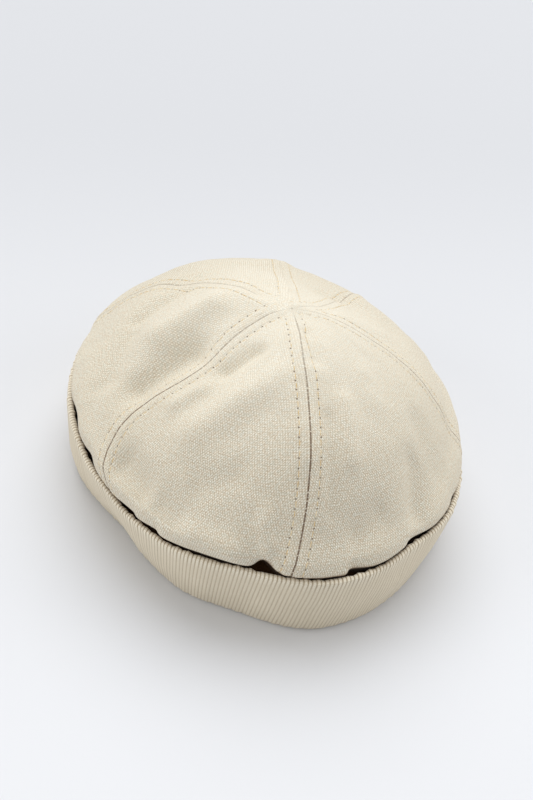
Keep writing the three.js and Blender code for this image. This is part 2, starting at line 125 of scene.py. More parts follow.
# %% Tables of creases and tucks
CREASES = np.array([
    # x0, y0, x1, y1, breadth, height
    (-0.32, 0.10, -0.54, 0.03, 0.085, 0.052),
    (-0.43, -0.13, -0.66, -0.21, 0.075, -0.066),
    (-0.42, 0.31, -0.64, 0.21, 0.045, -0.030),
    (-0.68, 0.12, -0.78, -0.08, 0.050, -0.022),
    (-0.86, 0.16, -0.89, -0.10, 0.050, 0.018),
    (-0.17, -0.24, -0.29, -0.29, 0.045, -0.042),
    (-0.40, -0.35, -0.50, -0.38, 0.045, 0.028),
    (-0.44, -0.54, -0.30, -0.50, 0.085, 0.040),
    (-0.20, -0.46, -0.10, -0.44, 0.080, 0.036),
    (-0.06, -0.54, -0.02, -0.76, 0.060, 0.018),
    (-0.74, -0.52, -0.68, -0.66, 0.060, -0.042),
    (-0.60, -0.76, -0.56, -0.82, 0.055, -0.030),
    (0.06, -0.20, 0.07, -0.36, 0.045, -0.028),
    (0.18, -0.54, 0.19, -0.76, 0.045, 0.020),
    (0.10, -0.62, 0.10, -0.92, 0.032, -0.012),
    (0.30, -0.38, 0.34, -0.50, 0.070, 0.012),
    (0.28, 0.00, 0.48, 0.00, 0.060, 0.018),
    (-0.08, 0.12, -0.03, 0.20, 0.070, -0.020),
    (-0.36, 0.42, -0.44, 0.40, 0.060, -0.020),
    (0.27, 0.38, 0.36, 0.37, 0.060, -0.020),
    (-0.18, 0.34, -0.10, 0.44, 0.060, 0.010),
    (0.52, -0.70, 0.53, -0.84, 0.060, -0.028),
    (0.56, -0.52, 0.60, -0.60, 0.060, -0.012),
    (-0.18, -0.93, -0.16, -0.98, 0.040, 0.030),
    (0.22, -0.96, 0.31, -0.90, 0.055, -0.024),
    (-0.48, -0.91, -0.32, -0.99, 0.050, 0.024),
    (-0.30, -0.78, -0.44, -0.76, 0.060, -0.018),
    (0.64, 0.60, 0.78, 0.50, 0.070, -0.028),
    (0.60, 0.14, 0.63, 0.24, 0.060, -0.016),
    (0.48, 0.36, 0.50, 0.46, 0.055, 0.018),
    (-0.10, 0.58, 0.14, 0.72, 0.070, 0.014),
    (-0.45, 0.70, -0.38, 0.56, 0.050, -0.014),
])
TUCKS = np.array([
    # at, before, after, depth
    (-152, 6, 3, 0.020),
    (-118, 3, 7, 0.018),
    (-84, 4, 4, 0.028),
    (-68, 4, 3, 0.018),
    (-46, 6, 1.3, 0.016),
    (-38, 5, 1.2, 0.018),
    (-24, 6, 5, 0.006),
    (-10, 2.1, 2.9, 0.060),
    (10.5, 0.8, 4.5, 0.028),
    (28, 1.2, 6, 0.020),
    (49, 2.5, 3, 0.010),
    (70, 5, 3, 0.008),
    (101, 3, 8, 0.020),
    (138, 6, 3, 0.018),
    (171, 4, 7, 0.018),
])
print(len(CREASES), "creases and", len(TUCKS), "tucks")

# %% Table of seams
# A seam strays from its direction by so many degrees at each of these ways down the crown.
SEAM_WAYS = np.array([0, 0.05, 0.15, 0.3, 0.6, 1, 2])
SEAMS = np.array([
    # at, then how far the seam strays at each of SEAM_WAYS
    (0, 3, 1, -2, -0.8, -1.2, -3.2, -3.5),
    (60, 20, 20, 16, 14.5, 8.5, 8.5, 7),
    (120, -12, -10, 3, 14.5, 16, 8, 3),
    (180, -9, -9, -9, -9, -9, -9, -9),
    (240, -12, -12, -12.5, -14.5, -9.5, -4, -2),
    (300, -20, -20, -11, -3.5, -5.8, 0.5, 6),
])
GAPES = [
    # share that the seam gapes, mm from the top that it is pressed shut
    (0.46, 8),
    (0.4, 12),
    (0.25, 4),
    (0.05, 14),
    (0.3, 16),
    (0.44, 5),
    (0.46, 8),
]
FULL_TURN = np.array([360] + [0] * len(SEAM_WAYS))
SEAMS = np.vstack([SEAMS, SEAMS[0] + FULL_TURN])
PANELS = ["front_right", "right", "back_right", "back_left", "left", "front_left"]
print(len(SEAMS) - 1, "seams between", len(PANELS), "gores")


# %% Helpers for smooth steps and bumps
def blend(start, end, share):
    return start + (end - start) * share


def ramp(value, low, high):
    share = np.clip((value - low) / (high - low), 0, 1)
    return share * share * (3 - 2 * share)


def hump(distance, breadth):
    return np.exp(-((distance / breadth) ** 2))


def turn_between(direction, other):
    return (direction - other + 180) % 360 - 180


print("halfway up a smooth step:", ramp(0.5, 0, 1))


# %% Helpers for curves through a table
def smooth_curve(x, knots, values, slopes):
    """A curve through a table's points that never kinks."""
    i = np.clip(np.searchsorted(knots, x, side="right") - 1, 0, len(knots) - 2)
    step = knots[i + 1] - knots[i]
    share = (x - knots[i]) / step
    rise = share * share * (3 - 2 * share)
    lean = slopes[i] * (1 - share) - slopes[i + 1] * share
    return values[i] * (1 - rise) + values[i + 1] * rise + step * share * (1 - share) * lean


def even_slopes(knots, values):
    """The slope at each inner point, from its two neighbours, and none at both ends."""
    slopes = np.zeros(len(knots))
    slopes[1:-1] = (values[2:] - values[:-2]) / (knots[2:] - knots[:-2])
    return slopes


def around(column, direction):
    """A column of SECTIONS in any direction."""
    knots = np.concatenate([AT - 360, AT, AT + 360])
    values = np.tile(column, 3)
    slopes = even_slopes(knots, values)
    return smooth_curve((direction + 180) % 360 - 180, knots, values, slopes)


STEEPEST = 1.6  # slope at the widest line, as a multiple of the slope just above it


def profile_up(out):
    """Height of the dome as a share, steepest at its widest line."""
    slopes = even_slopes(OUT, UP)
    slopes[-1] = STEEPEST * (UP[-1] - UP[-2]) / (OUT[-1] - OUT[-2])
    return smooth_curve(out, OUT, UP, slopes)


print("dome half way out:", round(float(profile_up(np.array(0.5))), 3), "of its height")


# %% [markdown]
# ## The shape of the crown
# The crown is a soft dome that bulges a little over the cuff and is gripped inside it. A point of
# it is named by its direction and by its way from the top: 0 on top, 1 at the widest line and 2 at
# the hem. It could be sculpted, but a function keeps six separate sheets in perfect register along
# their seams.


# %% The plain outlines of crown and cuff
def oval(direction):
    angle = np.radians(direction)
    return 1 / np.hypot(np.cos(angle) / HALF_LENGTH, np.sin(angle) / HALF_WIDTH)


def polar(radius, direction, height):
    angle = np.radians(direction)
    radius, angle, height = np.broadcast_arrays(radius, angle, height)
    return np.stack([radius * np.sin(angle), -radius * np.cos(angle), height], axis=-1)


def widest_radius(at):
    return oval(at) * (1 + around(CROWN, at))


def cuff_radius(at):
    return oval(at) * (1 + around(TOP, at)) + CUFF_FLARE


def foot_radius(at):
    return oval(at) * (1 + around(FOOT, at))


def cuff_top(at):
    return CUFF_HEIGHT * (1 + around(RISE, at))


def neck_radius(at):
    return cuff_radius(at) - KNIT - NECK_GAP


def neck_way(at):
    """The way at which the crown goes in behind the cuff."""
    return 1 + (BULGE_HEIGHT - cuff_top(at)) / (BULGE_HEIGHT - HEM_HEIGHT)


for name, direction in (("front", 0), ("right", 90), ("back", 180), ("left", -90)):
    out, high = cuff_radius(direction).round(1), cuff_top(direction).round(1)
    print(name, "cuff:", out, "mm out,", high, "mm high")

# %% How deep the tucks go
TUCK_FROM = 0.86  # these are ways
TUCK_FADE = 1.85
SOFT_BREADTH = 5  # degrees
SLOPE_SHARE = 0.45
SLOPE_RISE = (0.55, 0.95)
SLOPE_FADE = (1, 1.5)


def tuck_depth(at, way):
    """How deep the tucks pull the crown in: sharply at the cuff, softly on the slope above it."""
    sharp, soft = 0, 0
    for place, before, after, deep in TUCKS:
        off = turn_between(at, place)
        sharp = sharp + deep * hump(off, np.where(off < 0, before, after))
        soft = soft + deep * hump(off, SOFT_BREADTH)
    at_cuff = ramp(way, TUCK_FROM, neck_way(at)) * (1 - ramp(way, TUCK_FADE, 2))
    on_slope = SLOPE_SHARE * ramp(way, *SLOPE_RISE) * (1 - ramp(way, *SLOPE_FADE))
    return MEAN_RADIUS * (sharp * at_cuff + soft * on_slope)


DEEPEST = TUCKS[np.argmax(TUCKS[:, 3]), 0]
print("deepest tuck in mm:", tuck_depth(DEEPEST, neck_way(DEEPEST)).round(1))

# %% The crown's smooth face
ROUNDING = 1.5
NECK_ROUNDING = 1.6
PUFF_FROM = 0.2


def crown_base(at, way):
    """The crown without its creases, in the cap's own millimetres."""
    at, way = np.broadcast_arrays(np.asarray(at, float), np.asarray(way, float))
    widest = widest_radius(at)
    out = np.sin(np.minimum(way, 1) * math.pi / 2)
    puff = around(PUFF, at) * CROWN_HEIGHT * 4 * out * (1 - out) * ramp(out, 0, PUFF_FROM)
    top_radius = out * blend(oval(at), widest, np.abs(out) ** ROUNDING)
    top_height = blend(BULGE_HEIGHT, CROWN_HEIGHT, profile_up(out)) + puff
    under = np.clip(way - 1, 0, 1)
    neck = neck_way(at) - 1
    to_neck = np.minimum(under / neck, 1) ** NECK_ROUNDING
    to_hem = np.clip((under - neck) / (1 - neck), 0, 1)
    low_radius = blend(widest, neck_radius(at), to_neck) - HEM_STEP * to_hem
    height = np.where(way <= 1, top_height, blend(BULGE_HEIGHT, HEM_HEIGHT, under))
    past = height - cuff_top(at) - LEAN_ABOVE
    leaning = KNIT * around(LEAN, at) * hump(past, np.where(past > 0, LEAN_OVER, LEAN_UNDER))
    radius = np.where(way <= 1, top_radius, low_radius) + leaning - tuck_depth(at, way)
    spots = polar(radius, at, height)
    lift = np.clip((height - CUFF_HEIGHT) / (CROWN_HEIGHT - CUFF_HEIGHT), 0, None)
    spots[..., 0] += TOP_SHIFT[0] * lift
    spots[..., 1] += TOP_SHIFT[1] * lift
    return spots


TOP_SPOT = crown_base(0, 0)
print("top of the crown in mm:", TOP_SPOT.round(1))


# %% The crown's normals and creases
def crown_normal(at, way):
    across = crown_base(at + 0.5, way) - crown_base(at - 0.5, way)
    down = crown_base(at, np.minimum(way + 0.01, 2)) - crown_base(at, way - 0.01)
    normal = np.cross(down, across)
    return normal / np.linalg.norm(normal, axis=-1, keepdims=True)


def crease_height(spots):
    flat = spots[..., :2] / MEAN_RADIUS
    height = np.zeros(flat.shape[:-1])
    for x0, y0, x1, y1, breadth, rise in CREASES:
        start = np.array([x0, y0])
        run = np.array([x1, y1]) - start
        share = np.clip((flat - start) @ run / (run @ run), 0, 1)
        off = np.linalg.norm(flat - start - share[..., None] * run, axis=-1)
        height += rise * MEAN_RADIUS * hump(off, breadth)
    return height


print("creases raise the top by", crease_height(TOP_SPOT).round(2), "mm")

# %% [markdown]
# ## Slack in the cloth
# No worn canvas is as smooth as a formula. A noise texture with a Displace modifier could roughen
# it, but it would part the gores at their seams. A few waves with seeded directions, laid over each
# other, are the same for both sheets of a seam, and they give the low unevenness that the light
# picks up between the big creases.

# %% Seeded waves
def make_waves(seed, count, shortest, longest):
    """A smooth field that wanders between about -1 and 1 over the given lengths."""
    random = np.random.default_rng(seed)
    heading = random.normal(size=(count, 3))
    heading /= np.linalg.norm(heading, axis=1, keepdims=True)
    length = np.exp(random.uniform(math.log(shortest), math.log(longest), size=count))
    phase = random.uniform(0, 2 * math.pi, size=count)

    def field(spots):
        angles = spots @ (heading * (2 * math.pi / length[:, None])).T + phase
        return np.sin(angles).sum(axis=-1) / math.sqrt(count)

    return field


SLACK = make_waves(3, 14, 22, 60)
FINE_SLACK = make_waves(5, 16, 7, 18)
PUCKER = make_waves(8, 12, 3, 9)
SLACK_DEPTH = 0.2
FINE_SLACK_DEPTH = 0.09
CREASE_FADE = (0.8, 1.2)  # ways between which the creases end


def crown_point(at, way, depth):
    """A spot so deep in the crown's cloth, creases and slack included."""
    base = crown_base(at, way)
    lift = crease_height(base) * (1 - ramp(way, *CREASE_FADE))
    lift += SLACK_DEPTH * SLACK(base) + FINE_SLACK_DEPTH * FINE_SLACK(base)
    return base + crown_normal(at, way) * (lift - depth)[..., None]


print("slack at the top in mm:", (SLACK_DEPTH * SLACK(TOP_SPOT)).round(2))

# %% Where the cap stands in the frame
CUFF_BELLY = KNIT * 0.4


def knit_outline():
    """Lowest and highest corner of the cuff's plain outline."""
    at = np.arange(0, 360, 0.5)[:, None]
    share = np.linspace(0, 1, 21)[None, :]
    radius = blend(foot_radius(at), cuff_radius(at), share) + CUFF_BELLY * np.sin(math.pi * share)
    spots = polar(radius, at, CUFF_HEIGHT * share).reshape(-1, 3)
    return spots.min(axis=0), spots.max(axis=0)


low, high = knit_outline()
band_low, band_high = (np.array(corner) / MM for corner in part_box("rib_band"))
MIDDLE = (low + high) / 2 - (band_low + band_high) / 2
MIDDLE[2] = 0
print("middle of the outline in mm:", MIDDLE.round(2))

# %% [markdown]
# ## Sheets from Blender's primitives
# A sheet of cloth needs faces in even rows, which carry the map that its weave follows. The faces
# could be listed in code one by one, but a grid or a torus has them all in order. So each sheet
# starts as a primitive, and its vertices are moved in one go from an array. Its maps are written
# the same way.

# %% Helpers for meshes
def deselect_all():
    if bpy.context.object and bpy.context.object.mode != "OBJECT":
        bpy.ops.object.mode_set(mode="OBJECT")
    bpy.ops.object.select_all(action="DESELECT")


def apply_modifiers(piece):
    bpy.context.view_layer.objects.active = piece
    for modifier in list(piece.modifiers):
        bpy.ops.object.modifier_apply(modifier=modifier.name)


def place_vertices(piece, spots):
    """Move a mesh's vertices to spots given in the cap's own millimetres."""
    placed = (spots.reshape(-1, 3) - MIDDLE) * MM
    piece.data.vertices.foreach_set("co", placed.ravel())
    piece.data.update()


def corner_vertices(piece):
    """The vertex at each corner of each face."""
    corners = np.empty(len(piece.data.loops), dtype=np.int32)
    piece.data.loops.foreach_get("vertex_index", corners)
    return corners


def remove_uvs(piece):
    while piece.data.uv_layers:
        piece.data.uv_layers.remove(piece.data.uv_layers[0])


def add_uv(piece, name, u, v):
    """Write one pair of values for every corner of a face."""
    layer = piece.data.uv_layers.new(name=name)
    layer.data.foreach_set("uv", np.stack([u.ravel(), v.ravel()], axis=1).ravel())


def add_shade(piece, name, values):
    """Give every vertex a share from 0 to 1 that its finish reads by name."""
    layer = piece.data.attributes.new(name, "FLOAT", "POINT")
    layer.data.foreach_set("value", values.astype(np.float32))


def vertex_spots(piece):
    spots = np.empty(len(piece.data.vertices) * 3)
    piece.data.vertices.foreach_get("co", spots)
    return spots.reshape(-1, 3)


# %% [markdown]
# ## The rib-knit band
# The band grips the head, and turned up it is the cap's cuff. It is one tube of rib knit, laid
# double, folded outwards at the bottom and turned up. A rib knit shows close ridges with narrow
# grooves between them. A bump map could draw them on a smooth wall, but the rounded upper edge
# shows them as teeth, so they are real. A torus gives the closed ring of faces, and each of its
# sections is then carried to the U of the folded band.

# %% Section of the band
FOLDED = 2 * KNIT + FOLD_GAP
CORNER = (FOLDED - FOOT_WIDTH) / 2
CORNER_STEPS = [(1, 0), (0.55, 0.22), (0.2, 0.6)]  # inset and height, as shares of CORNER
CORNER_TOP = 1.3
OUTER_SHARES = (0.12, 0.2, 0.28, 0.36, 0.44, 0.52, 0.6, 0.68, 0.76, 0.84, 0.91)
BEHIND_SHARES = (0.88, 0.8, 0.66, 0.48, 0.28)
HEM_STEPS = [(0, 0.35), (0, 0.7), (0, 1), (KNIT / 2, 1), (KNIT, 1)]  # inset and share
INNER_SHARES = (0.85, 0.68, 0.5, 0.32, 0.2)


def band_section():
    """Side, inset, share of the side's height and length above it, for each point of the U."""
    corner = [(CORNER * inset, CORNER * above) for inset, above in CORNER_STEPS]
    half = KNIT / 2
    points = [("cuff", inset, 0, above) for inset, above in corner]
    points.append(("cuff", 0, 0, CORNER * CORNER_TOP))
    points += [("cuff", 0, share, 0) for share in OUTER_SHARES]
    for angle in np.radians(np.linspace(0, 180, 11)):
        points.append(("cuff", half - half * math.cos(angle), 1, half * math.sin(angle) - half))
    points += [("cuff", KNIT, share, 0) for share in BEHIND_SHARES]
    points += [("cuff", KNIT, 0, KNIT), ("inner", 0, 0, KNIT)]
    points += [("inner", inset, share, 0) for inset, share in HEM_STEPS]
    points += [("inner", KNIT, share, 0) for share in INNER_SHARES]
    points.append(("inner", KNIT, 0, CORNER * CORNER_TOP))
    points += [("cuff", FOLDED - inset, 0, above) for inset, above in reversed(corner)]
    return points


SECTION = band_section()
print(len(SECTION), "points round the section of the folded band")

# %% Rings of the band
EDGE_WAVE = make_waves(11, 8, 14, 50)
EDGE_WAVE_HEIGHT = 0.5
WALL_WAVE = make_waves(13, 10, 18, 60)
WALL_WAVE_DEPTH = 0.45


def cuff_ring(turned, inset, share, above):
    """Radius and height all round, at one point of the cuff's section."""
    top = cuff_top(turned) + EDGE_WAVE_HEIGHT * EDGE_WAVE(polar(MEAN_RADIUS, turned, 0))
    height = top * share + above
    part = height / top
    belly = CUFF_BELLY * np.sin(math.pi * np.minimum(1, part))
    radius = blend(foot_radius(turned), cuff_radius(turned), part) + belly - inset
    waving = np.sin(math.pi * np.clip(part, 0, 1)) if inset < KNIT else 0
    wave = WALL_WAVE_DEPTH * waving * WALL_WAVE(polar(MEAN_RADIUS, turned, height))
    return radius + wave, height


def inner_ring(turned, inset, share, above):
    """The same at one point of the layer inside the cuff, which is sewn to the crown."""
    hem = HEM_HEIGHT - SEAM_GAP
    height = hem * share + above + 0 * turned
    low_radius = foot_radius(turned) - KNIT - FOLD_GAP
    radius = blend(low_radius, neck_radius(turned) - HEM_STEP, height / hem) - inset
    return radius, height


print("foot of the cuff in front:", cuff_ring(np.array(0.0), 0, 0, 0)[0].round(1), "mm out")

# %% Places of all points of the band
RIBS = 372
COLUMNS_PER_RIB = 5
COLUMNS = RIBS * COLUMNS_PER_RIB
RIB_TWIST = 1.3  # degrees over the height of the cuff
BEHIND = KNIT * 0.8
# Painted shade on the layers behind the cuff's wall, between these depths under the rim.
DARK_BELOW = (0.3, 2.6)  # mm under the rim
# Near the rim the knit is painted paler, as painted light on the cuff's upper edge.
RIM_FROM = (-7, -0.4)  # mm over the rim


def band_points(at):
    """Spots of the plain band, how much shade is painted on each one, and how near to the rim."""
    outline, rims, behind = [], [], []
    for side, inset, share, above in SECTION:
        part = share + above / CUFF_HEIGHT
        turned = at + RIB_TWIST * (part - 1 if side == "cuff" else -1 - part)
        ring = cuff_ring if side == "cuff" else inner_ring
        radius, height = ring(turned, inset, share, above)
        outline.append(polar(radius, turned, height))
        rims.append(cuff_top(turned))
        behind.append(side == "inner" or inset > BEHIND)
    spots = np.stack(outline, axis=1)
    below = np.stack(rims, axis=1) - spots[..., 2]
    hidden = np.array(behind, float)[None, :] * ramp(below, *DARK_BELOW)
    return spots, hidden, ramp(-below, *RIM_FROM)


print(RIBS, "ribs, one each", round(2 * math.pi * float(cuff_radius(0)) / RIBS, 2), "mm in front")

# %% Ribs of the band
RIB_DEPTH = 0.22
EDGE_RIB_DEPTH = 0.38
EDGE_FROM = (0.86, 0.98)  # shares of the cuff's height
FLAT_FOOT = (0.1, 1.5)  # mm above the floor, where the ribs begin
RIB_STRENGTH = (0.8, 1.15)


def raise_ribs(at, spots):
    """Push the ridges out and the grooves in, along the normals of the plain section."""
    tangent = np.roll(spots, -1, axis=1) - np.roll(spots, 1, axis=1)
    sideways = np.roll(spots, -1, axis=0) - np.roll(spots, 1, axis=0)
    normal = np.cross(sideways, tangent)
    normal /= np.linalg.norm(normal, axis=-1, keepdims=True)
    phase = at * RIBS / 360
    ridge = np.cos(2 * math.pi * phase)
    strength = np.random.default_rng(21).uniform(*RIB_STRENGTH, RIBS).repeat(COLUMNS_PER_RIB)
    shares = np.array([share + above / CUFF_HEIGHT if side == "cuff" else 0
                       for side, _, share, above in SECTION])
    depth = blend(RIB_DEPTH, EDGE_RIB_DEPTH, ramp(shares, *EDGE_FROM))
    depth = depth[None, :] * ramp(spots[..., 2], *FLAT_FOOT)
    return spots + normal * (ridge * strength)[:, None, None] * depth[..., None]


print("a rib stands out", 2 * RIB_DEPTH, "mm on the wall and", 2 * EDGE_RIB_DEPTH, "mm on the rim")


# %% The band's map
def torus_index(band, points):
    """Column and point number of each vertex of a primitive torus."""
    start = vertex_spots(band)
    turn = np.degrees(np.arctan2(start[:, 0], -start[:, 1]))
    column = np.rint(turn * COLUMNS / 360).astype(int) % COLUMNS
    tube = np.arctan2(start[:, 2], np.hypot(start[:, 0], start[:, 1]) - 1)
    return column, np.rint(tube * points / (2 * math.pi)).astype(int) % points


def run_on(numbers, count, values, whole):
    """Values at each face's corners, where the faces that close the ring run on past its end."""
    closes = np.ptp(numbers, axis=1, keepdims=True) > count / 2
    return values + np.where(closes & (numbers < count / 2), whole, 0)


def map_band(band, plain, column, point):
    """Ribs across and length down the knit. Returns the length all round the section."""
    steps = np.linalg.norm(plain - np.roll(plain, 1, axis=1), axis=-1).mean(axis=0)
    closing, steps[0] = steps[0], 0
    length = np.cumsum(steps)
    total = length[-1] + closing
    remove_uvs(band)
    corners = corner_vertices(band)
    columns, points = (numbers[corners].reshape(-1, 4) for numbers in (column, point))
    across = run_on(columns, COLUMNS, columns, COLUMNS) / COLUMNS_PER_RIB
    down = run_on(points, len(SECTION), length[points], total)
    add_uv(band, "cloth", across, down * MM)
    return float(total)


closing_face = np.array([[COLUMNS - 1, 0]])
print("the last face runs from column", *run_on(closing_face, COLUMNS, closing_face, COLUMNS)[0])


def build_band():
    at = np.arange(COLUMNS) * 360 / COLUMNS
    plain, hidden, rim = band_points(at)
    deselect_all()
    bpy.ops.mesh.primitive_torus_add(
        major_segments=COLUMNS, minor_segments=len(SECTION), major_radius=1, minor_radius=0.25)
    band = bpy.context.object
    band.name = "rib_cuff"
    column, point = torus_index(band, len(SECTION))
    place_vertices(band, raise_ribs(at, plain)[column, point])
    add_shade(band, "hidden", hidden[column, point])
    add_shade(band, "rim", rim[column, point])
    total = map_band(band, plain, column, point)
    band.data.shade_smooth()
    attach(band, "root")
    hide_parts("rib_band")
    return band


cuff = build_band()

# %% [markdown]
# ## Seams
# Two gores are sewn face to face, pressed open and stitched down on both sides. So each gore's
# cloth rolls over at the seam and comes back beneath itself. A dark line could be painted on one
# closed dome, but the roll is what makes the fine shadow, and the layer below is what makes the
# padded strip between the line and the stitches. So both are built, and the canvas finish adds
# painted brown shade in the line as well.

# %% The section of one gore's edge
CANVAS = 0.52
ALLOWANCE = 6.5
TOPSTITCH = 4.4
ROLL = 0.28
ROLL_PLACE = 0.56
ROLL_OVERLAP = 0.4
ROLL_STEPS = 6
LAYER_DEPTH = CANVAS / 2
UNDER_DEPTH = LAYER_DEPTH + 2 * ROLL
UNDER_DISTANCES = [ALLOWANCE, 5.4, TOPSTITCH, 3.4, 2.2, 1.3]
CLOSE_DISTANCES = [0.7, 0.95, 1.3, 1.8, 2.3, 2.8, 3.3, 3.8]
STITCHED_DISTANCES = [4.1, TOPSTITCH, 4.7, 5.0, 5.5, 6.1, 6.9, 7.8, 8.8]
OVER_DISTANCES = CLOSE_DISTANCES + STITCHED_DISTANCES


def edge_section():
    """Distance from the seam, depth and flat place of each column, from the raw edge inwards."""
    rows = [(distance, UNDER_DEPTH, ROLL_PLACE - distance) for distance in UNDER_DISTANCES]
    half_round = math.pi * ROLL
    rows = [(distance, depth, flat - half_round) for distance, depth, flat in rows]
    for share in np.linspace(0, 1, ROLL_STEPS + 1):
        angle = math.pi * share
        distance = ROLL_PLACE - ROLL * math.sin(angle)
        depth = LAYER_DEPTH + ROLL + ROLL * math.cos(angle)
        rows.append((distance, depth, ROLL_PLACE - half_round * (1 - share)))
    rows += [(distance, LAYER_DEPTH, distance) for distance in OVER_DISTANCES]
    return np.array(rows)


EDGE = edge_section()
ROLL_END = len(UNDER_DISTANCES) + ROLL_STEPS
print(len(EDGE), "columns along each edge of a gore")

# %% The face beside a seam, and where each seam runs
SEAM_FORMS = [
    # from the seam, breadth, depth
    (0, 0.8, 0.12),
    (2.3, 1.3, -0.12),
    (TOPSTITCH, 0.6, 0.2),
]
STEP_DEPTH = 0.15


def seam_relief(distance):
    """How far the outer cloth lies in beside a seam: a padded strip, then the stitched dip."""
    forms = sum(depth * hump(distance - place, breadth) for place, breadth, depth in SEAM_FORMS)
    return forms + STEP_DEPTH * ramp(distance, 5.0, 8.5)


def seam_at(seam, way):
    """The direction of a seam at each way down the crown."""
    strays = SEAMS[seam][1:]
    return SEAMS[seam][0] + smooth_curve(way, SEAM_WAYS, strays, even_slopes(SEAM_WAYS, strays))


print("dip under the stitches in mm:", round(float(seam_relief(TOPSTITCH)), 2))

# %% [markdown]
# ## Ways at even lengths
# The rows of a sheet are spaced evenly along the cloth, so that its faces stay nearly square from
# the tip to the hem. Equal steps of the way would be shorter to write, but they would crowd the
# rows under the cuff. The same lengths later place every stitch of a seam.

# %% Lengths down a seam or a gore's middle line
TIP = 0.08
DENSE = np.linspace(0, 2, 1601)


def way_from_radius(radius):
    return math.asin(min(1, radius / MEAN_RADIUS)) * 2 / math.pi


def lengths_down(directions):
    """Length from the top to each of the DENSE ways, along a line of directions."""
    spots = crown_base(directions, DENSE)
    steps = np.linalg.norm(np.diff(spots, axis=0), axis=1)
    return np.concatenate([[0], np.cumsum(steps)])


SEAM_LENGTHS = [lengths_down(seam_at(seam, DENSE)) for seam in range(len(SEAMS))]
print("seam lengths in mm:", [round(float(lengths[-1]), 1) for lengths in SEAM_LENGTHS[:-1]])

# %% [markdown]
# ## Canvas gores
# A gore is one leaf-shaped piece of canvas, from the tip on top to the hem behind the cuff. Each
# starts as a flat grid, one column for each step across the cloth and one row for each step down
# it. Code then carries every vertex to its place on the dome, with both edges rolled under. A
# Solidify modifier gives the cloth its thickness. Cloth simulation was the other choice, but it
# would lose the register of the seams, and the dents of this cap are known, not random.

# %% Rows and columns of one gore
GORE_ROWS = 124
INNER_COLUMNS = 64
PRESSED_BREADTH = 1.2
SHUTTING = (-2, 3)  # mm before and after the place where a seam is pressed shut


def even_rows(index):
    """Lengths and ways of a gore's rows, evenly spaced down its middle line."""
    middle = lengths_down((seam_at(index, DENSE) + seam_at(index + 1, DENSE)) / 2)
    tip_length = np.interp(way_from_radius(TIP), DENSE, middle)
    even = np.linspace(tip_length, middle[-1], GORE_ROWS)
    return even, np.interp(even, middle, DENSE)[:, None]


def edge_columns(seam, radius, squeeze):
    """Distance from the seam of each column beside it, and how far the seam gapes."""
    gape, shut = GAPES[seam]
    opened = gape * ramp(radius - shut, *SHUTTING)
    pressed = EDGE[:, 0] - ROLL_OVERLAP * hump(EDGE[:, 0], PRESSED_BREADTH)
    return blend(pressed, EDGE[:, 0], opened) * squeeze, opened


def join_columns(edge, inner, other_edge):
    """All columns of a gore, where those of the second edge run back from its seam."""
    return np.concatenate([edge, inner, other_edge[:, ::-1]], axis=1)


print("a gore's grid:", GORE_ROWS, "rows,", 2 * len(EDGE) + INNER_COLUMNS - 1, "columns")

# %% Painted shade on the cloth behind the cuff
SHADE_FROM = 0.32  # how far above the cuff, in ways, the shade begins
SHADE_TO = 0.1
SHADE_REACH = 10
OPEN_TUCK = 0.02


def painted_shade_share(at, way):
    """Share of painted shade: 0 in the open and 1 behind the cuff, and sooner where a deep tuck lies in
    shade.
    """
    neck = neck_way(at)
    pinched = tuck_depth(at, neck) / MEAN_RADIUS
    reach = SHADE_FROM + SHADE_REACH * np.maximum(0, pinched - OPEN_TUCK)
    return ramp(way, neck - reach, neck + SHADE_TO)


print("shade at the widest line in front:", round(float(painted_shade_share(0, 1)), 2))

# %% Grid of one gore
EDGE_ROOM = 2.4  # a gore narrower than so many edges squeezes its columns
THIN_EDGE = 1.6
PUCKER_DEPTH = 0.09
PUCKER_BESIDE = (2.2, 1.6)  # mm from the seam, and breadth


def gore_places(index):
    """Direction, way, depth, flat place and seam place of each vertex of a gore's grid."""
    even, way = even_rows(index)
    side_a = seam_at(index, way)
    side_b = seam_at(index + 1, way)
    base = crown_base((side_a + side_b) / 2, way)
    radius = np.hypot(base[..., 0], base[..., 1])
    width = radius * np.radians(side_b - side_a)
    squeeze = np.minimum(1, width / (EDGE_ROOM * OVER_DISTANCES[-1]))
    thin = np.minimum(1, squeeze * THIN_EDGE)
    edge_a, gape_a = edge_columns(index, radius, squeeze)
    edge_b, gape_b = edge_columns(index + 1, radius, squeeze)
    inside = np.linspace(0, 1, INNER_COLUMNS + 1)[None, 1:-1]
    inner = blend(edge_a[:, -1:], width - edge_b[:, -1:], inside)
    distance = join_columns(edge_a, inner, width - edge_b)
    near = np.minimum(distance, width - distance)
    flat_edge = EDGE[:, 2] * squeeze
    flat = join_columns(flat_edge, inner, width - flat_edge) - width / 2
    edge_depth = EDGE[:, 1] + 0 * edge_a
    depth = join_columns(edge_depth, np.full(inner.shape, LAYER_DEPTH), edge_depth) * thin
    edge_on_top = (np.arange(len(EDGE)) >= ROLL_END)[None, :]
    on_top = join_columns(edge_on_top, np.ones((1, inner.shape[1]), bool), edge_on_top)
    at = blend(side_a, side_b, distance / width)
    way = way + 0 * at
    strip, breadth = PUCKER_BESIDE
    depth += hump(near - strip, breadth) * PUCKER_DEPTH * PUCKER(crown_base(at, way))
    depth += np.where(on_top, seam_relief(near) * thin, 0)
    left = np.arange(distance.shape[1])[None, :] < distance.shape[1] / 2
    down_a = np.interp(way, DENSE, SEAM_LENGTHS[index])
    down_b = np.interp(way, DENSE, SEAM_LENGTHS[index + 1])
    return {
        "at": at, "way": way, "depth": depth, "flat": flat, "thin": thin + 0 * at,
        "length": even[:, None] + 0 * at, "width": width[:, 0], "even": even,
        "beside": np.where(on_top, near, -near), "along": np.where(left, down_a, down_b),
        "hidden": painted_shade_share(at, way), "open": np.where(left, gape_a, gape_b),
    }


print("widest place of the front right gore:", gore_places(0)["width"].max().round(), "mm")


